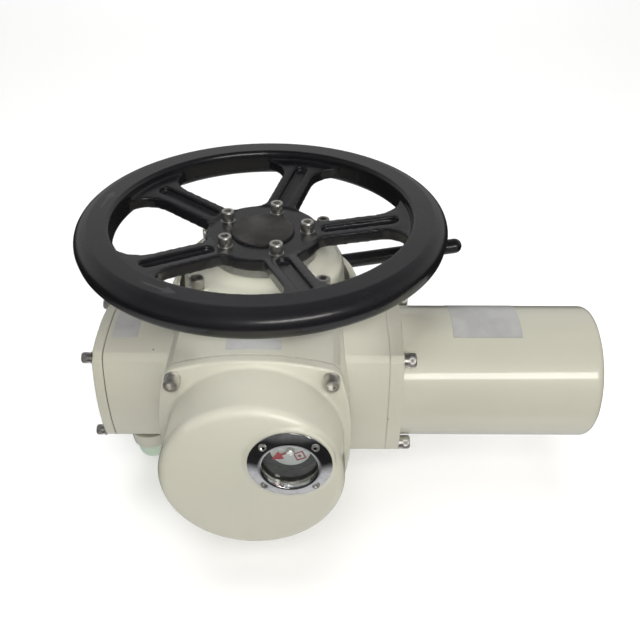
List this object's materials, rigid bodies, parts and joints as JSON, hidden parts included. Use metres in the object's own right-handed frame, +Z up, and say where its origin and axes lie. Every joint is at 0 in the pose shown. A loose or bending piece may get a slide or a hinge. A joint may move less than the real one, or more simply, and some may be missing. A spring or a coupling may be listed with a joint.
{
  "type": "motorized valve actuator",
  "caption": "Multi-turn electric valve actuator with top handwheel, hand lever, side motor, terminal compartment and a round front cover with indicator window.",
  "frame": {"origin": "centre of the valve mounting flange's lower face", "axes": "+Z up the output and handwheel axis, +X to the motor, -Y to the indicator window cover"},
  "size_m": [0.488, 0.4015, 0.27],
  "materials": {
    "cream_enamel": "gloss enamel with light orange peel",
    "painted_seam": "gasket edge painted over with the casting",
    "black_coat": "satin black powder coat",
    "stainless": "bright stainless steel",
    "chrome_bezel": "polished chrome",
    "window_glass": "clear glass",
    "cap_rubber": "matt dusty rubber",
    "seal_rubber": "matt",
    "machined_steel": "turned",
    "motor_iron": "machined",
    "motor_copper": "varnished copper windings",
    "gear_bronze": "machined bronze",
    "gland_plastic": "semi gloss",
    "label_film": "silver grey film, blank",
    "dial_white": "matt white",
    "pointer_red": "satin red",
    "black_plastic": "matt",
    "switch_orange": "matt",
    "terminal_green": "matt",
    "capacitor_white": "matt"
  },
  "bodies": {
    "case": {"gearcase": "cream_enamel", "top_cover": "cream_enamel", "top_cover_screws": "stainless", "front_cover": "cream_enamel", "front_gasket": "painted_seam", "front_screws": "stainless", "window_bezel": "chrome_bezel", "window_glass": "window_glass", "bezel_screws": "stainless", "terminal_cover": "cream_enamel", "terminal_gasket": "seal_rubber", "terminal_screws": "stainless", "motor_cover": "cream_enamel", "motor_gasket": "painted_seam", "motor_screws": "stainless", "cover_washers": "stainless", "motor_end_shield": "motor_iron", "motor_stator": "motor_copper", "lower_bearing": "machined_steel", "middle_bearing": "machined_steel", "upper_bearing": "machined_steel", "worm_bearings": "machined_steel", "lower_seal": "seal_rubber", "top_seal": "seal_rubber", "lever_seal": "seal_rubber", "gland_bodies": "gland_plastic", "gland_nuts": "gland_plastic", "cover_labels": "label_film", "earth_screw": "stainless", "indicator_plate": "dial_white", "indicator_gearbox": "black_plastic", "limit_switch_unit": "black_plastic", "torque_switch_unit": "switch_orange", "terminal_block": "terminal_green", "motor_capacitor": "capacitor_white"},
    "handwheel": {"handwheel": "black_coat", "handwheel_cap": "cap_rubber", "handwheel_screws": "stainless", "handwheel_washers": "stainless", "drive_sleeve": "machined_steel"},
    "output": {"drive_column": "machined_steel", "worm_wheel": "gear_bronze", "spacer_ring": "machined_steel"},
    "clutch": {"clutch_ring": "machined_steel"},
    "worm_drive": {"worm": "gear_bronze", "worm_shaft": "machined_steel", "motor_rotor": "motor_iron"},
    "indicator": {"indicator_pointer": "pointer_red", "pointer_screw": "stainless"},
    "lever": {"lever_rod": "black_coat", "lever_hub": "black_coat", "lever_shaft": "machined_steel", "clutch_fork": "machined_steel"}
  },
  "joints": [
    {"name": "output_spin", "type": "hinge", "parent": "case", "child": "output", "pos_m": [0, 0, 0.1], "axis": [0, 0, 1], "continuous": true},
    {"name": "worm_spin", "type": "hinge", "parent": "case", "child": "worm_drive", "pos_m": [0, -0.062, 0.13], "axis": [1, 0, 0], "continuous": true},
    {"name": "handwheel_spin", "type": "hinge", "parent": "case", "child": "handwheel", "pos_m": [0, 0, 0.25], "axis": [0, 0, 1], "continuous": true},
    {"name": "indicator_turn", "type": "hinge", "parent": "case", "child": "indicator", "pos_m": [0.0319, -0.2, 0.1608], "axis": [0, -1, 0], "continuous": true},
    {"name": "lever_swing", "type": "hinge", "parent": "case", "child": "lever", "pos_m": [0.065, 0, 0.162], "axis": [0, 1, 0], "range_deg": [0, 25]},
    {"name": "clutch_slide", "type": "slide", "parent": "output", "child": "clutch", "axis": [0, 0, 1], "range_m": [0, 0.0074]}
  ],
  "couplings": [
    {"joint": "worm_spin", "follows": "output_spin", "ratio": -30},
    {"joint": "indicator_turn", "follows": "output_spin", "ratio": 0.05},
    {"joint": "clutch_slide", "follows": "lever_swing", "m_per_rad": 0.0165}
  ]
}
